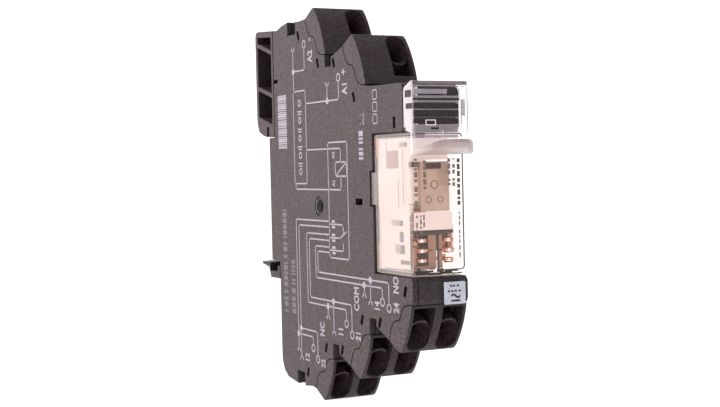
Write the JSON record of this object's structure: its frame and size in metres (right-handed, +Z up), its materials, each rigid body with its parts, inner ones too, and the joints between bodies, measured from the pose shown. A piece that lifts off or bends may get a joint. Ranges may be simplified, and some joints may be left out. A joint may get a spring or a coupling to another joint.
{
  "type": "slim din rail interface relay module",
  "caption": "Slim rail-mounted interface relay: socket with stepped clamp terminals, clear ejector lever and a plug-in changeover relay in a clear cover.",
  "frame": {"origin": "on the front plane of the rail's lips, at the rail's centre height and in the middle of the width", "axes": "+X to the right across the narrow width seen from the front, +Y back towards the rail, +Z up"},
  "size_m": [0.0128, 0.0878, 0.0894],
  "materials": {
    "housing_plastic": "fine spark texture, warm dark grey",
    "cap_plastic": "fine texture, dark grey",
    "black_plastic": "black, moulded",
    "clear_plastic": "clear, with a faint warm tint",
    "cream_plastic": "pale cream",
    "label_plastic": "bluish white",
    "copper_alloy": "bright copper alloy strip",
    "tinned_copper": "tinned",
    "spring_steel": "bright spring steel",
    "relay_iron": "plated soft iron",
    "enamelled_wire": "enamelled copper wire, wound",
    "circuit_board": "green solder resist",
    "moulded_component": "black epoxy",
    "aluminium_can": "sleeved can",
    "varistor_coat": "blue epoxy coat",
    "resistor_coat": "beige coat",
    "led_lens": "green tinted lens"
  },
  "bodies": {
    "socket": {"main_shell": "housing_plastic", "side_cover": "housing_plastic", "terminal_cap_a2": "cap_plastic", "terminal_cap_a1": "cap_plastic", "terminal_cap_no": "cap_plastic", "terminal_cap_com": "cap_plastic", "terminal_cap_nc": "cap_plastic", "contact_carrier": "black_plastic", "current_bar_no_1": "copper_alloy", "current_bar_no_2": "copper_alloy", "current_bar_com_1": "copper_alloy", "current_bar_com_2": "copper_alloy", "current_bar_nc_1": "copper_alloy", "current_bar_nc_2": "copper_alloy", "input_bar_a1": "copper_alloy", "input_bar_a2": "copper_alloy", "coil_socket_1": "copper_alloy", "coil_socket_2": "copper_alloy", "light_guide": "clear_plastic", "circuit_board": "circuit_board", "bridge_rectifier": "moulded_component", "smoothing_capacitor": "aluminium_can", "varistor": "varistor_coat", "dropping_resistor": "resistor_coat", "coil_transistor": "moulded_component", "freewheel_diode": "moulded_component", "status_led": "led_lens", "latch_spring": "spring_steel"},
    "lever": {"ejector_lever": "clear_plastic"},
    "relay": {"relay_cover": "clear_plastic", "relay_base": "cream_plastic", "coil_bobbin": "cream_plastic", "coil_winding": "enamelled_wire", "iron_core": "relay_iron", "yoke": "relay_iron", "contact_nc_1": "copper_alloy", "contact_nc_2": "copper_alloy", "contact_no_1": "copper_alloy", "contact_no_2": "copper_alloy", "common_pin_1": "tinned_copper", "common_pin_2": "tinned_copper", "coil_pin_1": "tinned_copper", "coil_pin_2": "tinned_copper"},
    "armature": {"armature": "relay_iron"},
    "card": {"contact_card": "black_plastic"},
    "moving_blade_1": {"moving_contact_1": "copper_alloy"},
    "moving_blade_2": {"moving_contact_2": "copper_alloy"},
    "latch": {"rail_latch": "black_plastic"},
    "marker": {"marker_label": "label_plastic"},
    "clamp_a2": {"clamp_spring_a2": "spring_steel"},
    "clamp_a1": {"clamp_spring_a1": "spring_steel"},
    "clamp_no_1": {"clamp_spring_no_1": "spring_steel"},
    "clamp_no_2": {"clamp_spring_no_2": "spring_steel"},
    "clamp_com_1": {"clamp_spring_com_1": "spring_steel"},
    "clamp_com_2": {"clamp_spring_com_2": "spring_steel"},
    "clamp_nc_1": {"clamp_spring_nc_1": "spring_steel"},
    "clamp_nc_2": {"clamp_spring_nc_2": "spring_steel"}
  },
  "joints": [
    {"name": "lever_hinge", "type": "hinge", "parent": "socket", "child": "lever", "pos_m": [0, -0.071, 0.022], "axis": [-1, 0, 0], "range_deg": [0, 75]},
    {"name": "relay_slide", "type": "slide", "parent": "socket", "child": "relay", "axis": [0, -1, 0], "range_m": [0, 0.01047]},
    {"name": "armature_hinge", "type": "hinge", "parent": "relay", "child": "armature", "pos_m": [0, -0.0669, -0.002], "axis": [1, 0, 0], "range_deg": [0, 7.6]},
    {"name": "card_slide", "type": "slide", "parent": "relay", "child": "card", "axis": [0, 0, -1], "range_m": [0, 0.0003979]},
    {"name": "blade_hinge_1", "type": "hinge", "parent": "relay", "child": "moving_blade_1", "pos_m": [-0.0031, -0.0584, -0.00955], "axis": [1, 0, 0], "range_deg": [0, 2]},
    {"name": "blade_hinge_2", "type": "hinge", "parent": "relay", "child": "moving_blade_2", "pos_m": [0.0031, -0.0584, -0.00955], "axis": [1, 0, 0], "range_deg": [0, 2]},
    {"name": "latch_slide", "type": "slide", "parent": "socket", "child": "latch", "axis": [0, 0, -1], "range_m": [0, 0.0024], "deforming": ["latch_spring"]},
    {"name": "marker_slide", "type": "slide", "parent": "socket", "child": "marker", "axis": [0, -1, 0], "range_m": [0, 0.004]},
    {"name": "clamp_a2_hinge", "type": "hinge", "parent": "socket", "child": "clamp_a2", "pos_m": [0.0033, -0.02652, 0.03288], "axis": [-1, 0, 0], "range_deg": [0, 12]},
    {"name": "clamp_a1_hinge", "type": "hinge", "parent": "socket", "child": "clamp_a1", "pos_m": [0.0033, -0.04612, 0.02488], "axis": [-1, 0, 0], "range_deg": [0, 12]},
    {"name": "clamp_no_1_hinge", "type": "hinge", "parent": "socket", "child": "clamp_no_1", "pos_m": [-0.0033, -0.06502, -0.01937], "axis": [1, 0, 0], "range_deg": [0, 12]},
    {"name": "clamp_no_2_hinge", "type": "hinge", "parent": "socket", "child": "clamp_no_2", "pos_m": [0.0033, -0.06502, -0.01937], "axis": [1, 0, 0], "range_deg": [0, 12]},
    {"name": "clamp_com_1_hinge", "type": "hinge", "parent": "socket", "child": "clamp_com_1", "pos_m": [-0.0033, -0.04672, -0.02718], "axis": [1, 0, 0], "range_deg": [0, 12]},
    {"name": "clamp_com_2_hinge", "type": "hinge", "parent": "socket", "child": "clamp_com_2", "pos_m": [0.0033, -0.04672, -0.02718], "axis": [1, 0, 0], "range_deg": [0, 12]},
    {"name": "clamp_nc_1_hinge", "type": "hinge", "parent": "socket", "child": "clamp_nc_1", "pos_m": [-0.0033, -0.02822, -0.03467], "axis": [1, 0, 0], "range_deg": [0, 12]},
    {"name": "clamp_nc_2_hinge", "type": "hinge", "parent": "socket", "child": "clamp_nc_2", "pos_m": [0.0033, -0.02822, -0.03467], "axis": [1, 0, 0], "range_deg": [0, 12]}
  ],
  "couplings": [
    {"joint": "lever_hinge", "follows": "relay_slide", "rad_per_m": 125},
    {"joint": "armature_hinge", "follows": "card_slide", "rad_per_m": 333.33},
    {"joint": "blade_hinge_1", "follows": "card_slide", "rad_per_m": 86.667},
    {"joint": "blade_hinge_2", "follows": "card_slide", "rad_per_m": 86.667}
  ]
}
